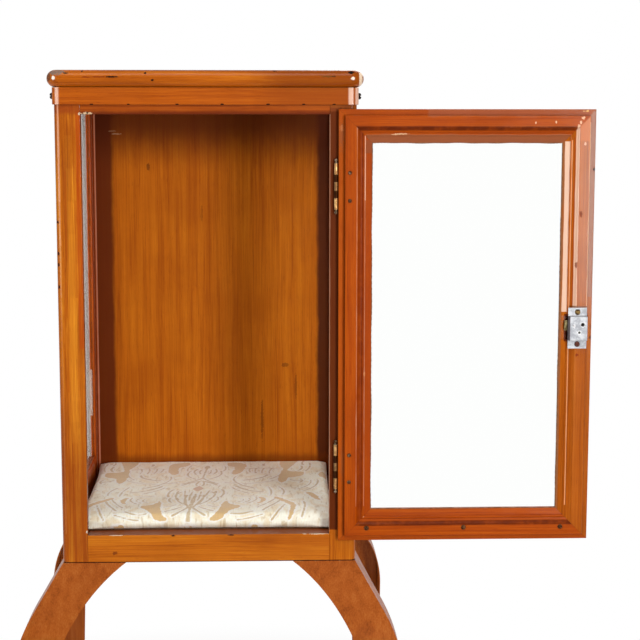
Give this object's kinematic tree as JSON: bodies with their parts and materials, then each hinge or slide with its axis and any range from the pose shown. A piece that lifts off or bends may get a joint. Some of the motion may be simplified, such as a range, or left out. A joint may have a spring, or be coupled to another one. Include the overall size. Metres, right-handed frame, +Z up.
{
  "type": "medicine cabinet",
  "caption": "Upright glazed sheet-steel cabinet on flared legs, with a hinged and lockable glass door, glass sides, a rolled-edge top and a loose pad on its floor.",
  "frame": {"origin": "on the floor, midway between the four feet, under the middle of the cabinet's body", "axes": "+Z up, +Y from the door's side to the back, +X to the hinge side; stored with the door swung fully open"},
  "size_m": [0.7921, 0.496, 1.235],
  "materials": {
    "grained_paint": "grained to look like wood, worn, satin",
    "dark_paint": "grained paint, darker at the edges",
    "glass": "clear, faintly green",
    "brass": "worn bright on the high spots",
    "zinc": "plated, pale grey, dull",
    "dark_steel": "dark and worn",
    "putty": "dry, dark",
    "rubber": "matte",
    "board": "plain",
    "damask": "woven damask in two shades of cream"
  },
  "bodies": {
    "cabinet": {"post_front_left": "grained_paint", "post_front_right": "grained_paint", "post_rear_left": "grained_paint", "post_rear_right": "grained_paint", "front_top_rail": "grained_paint", "front_bottom_rail": "grained_paint", "rear_top_rail": "grained_paint", "rear_bottom_rail": "grained_paint", "side_bottom_rail_left": "grained_paint", "side_bottom_rail_right": "grained_paint", "side_top_rail_left": "grained_paint", "side_top_rail_right": "grained_paint", "side_bead_left": "grained_paint", "side_bead_right": "grained_paint", "top_cap": "grained_paint", "top_skirt": "grained_paint", "leg_front_left": "grained_paint", "leg_front_right": "grained_paint", "leg_rear_left": "grained_paint", "leg_rear_right": "grained_paint", "back_panel": "dark_paint", "base_panel": "dark_paint", "ceiling_panel": "dark_paint", "floor_pan": "dark_paint", "side_glass_left": "glass", "side_glass_right": "glass", "hinge_leaf_fixed_lower": "brass", "hinge_leaf_fixed_upper": "brass", "hinge_pin_lower": "brass", "hinge_pin_upper": "brass", "hinge_leaf_screws": "brass", "skirt_screws": "dark_steel", "leg_bolts": "dark_steel", "foot_glides": "rubber", "pad_board": "board", "pad_cushion": "damask"},
    "door": {"door_hinge_stile": "grained_paint", "door_lock_stile": "grained_paint", "door_top_rail": "grained_paint", "door_bottom_rail": "grained_paint", "door_glass": "glass", "door_putty": "putty", "door_rail_screws": "dark_steel", "hinge_leaf_door_lower": "brass", "hinge_leaf_door_upper": "brass", "hinge_rivets": "brass", "lock_case": "zinc", "lock_escutcheon": "brass", "lock_screws": "brass"},
    "bolt": {"lock_bolt": "brass"},
    "plug": {"lock_plug": "brass"}
  },
  "joints": [
    {"name": "door_swing", "type": "hinge", "parent": "cabinet", "child": "door", "pos_m": [0.1748, -0.189, 0.9], "axis": [0, 0, 1], "range_deg": [-180, 0]},
    {"name": "plug_turn", "type": "hinge", "parent": "door", "child": "plug", "pos_m": [0.5099, -0.1856, 0.8931], "axis": [0, 1, 0], "range_deg": [0, 90]},
    {"name": "bolt_slide", "type": "slide", "parent": "door", "child": "bolt", "axis": [1, 0, 0], "range_m": [0, 0.007]}
  ],
  "couplings": [
    {"joint": "plug_turn", "follows": "bolt_slide", "rad_per_m": 224.3}
  ]
}
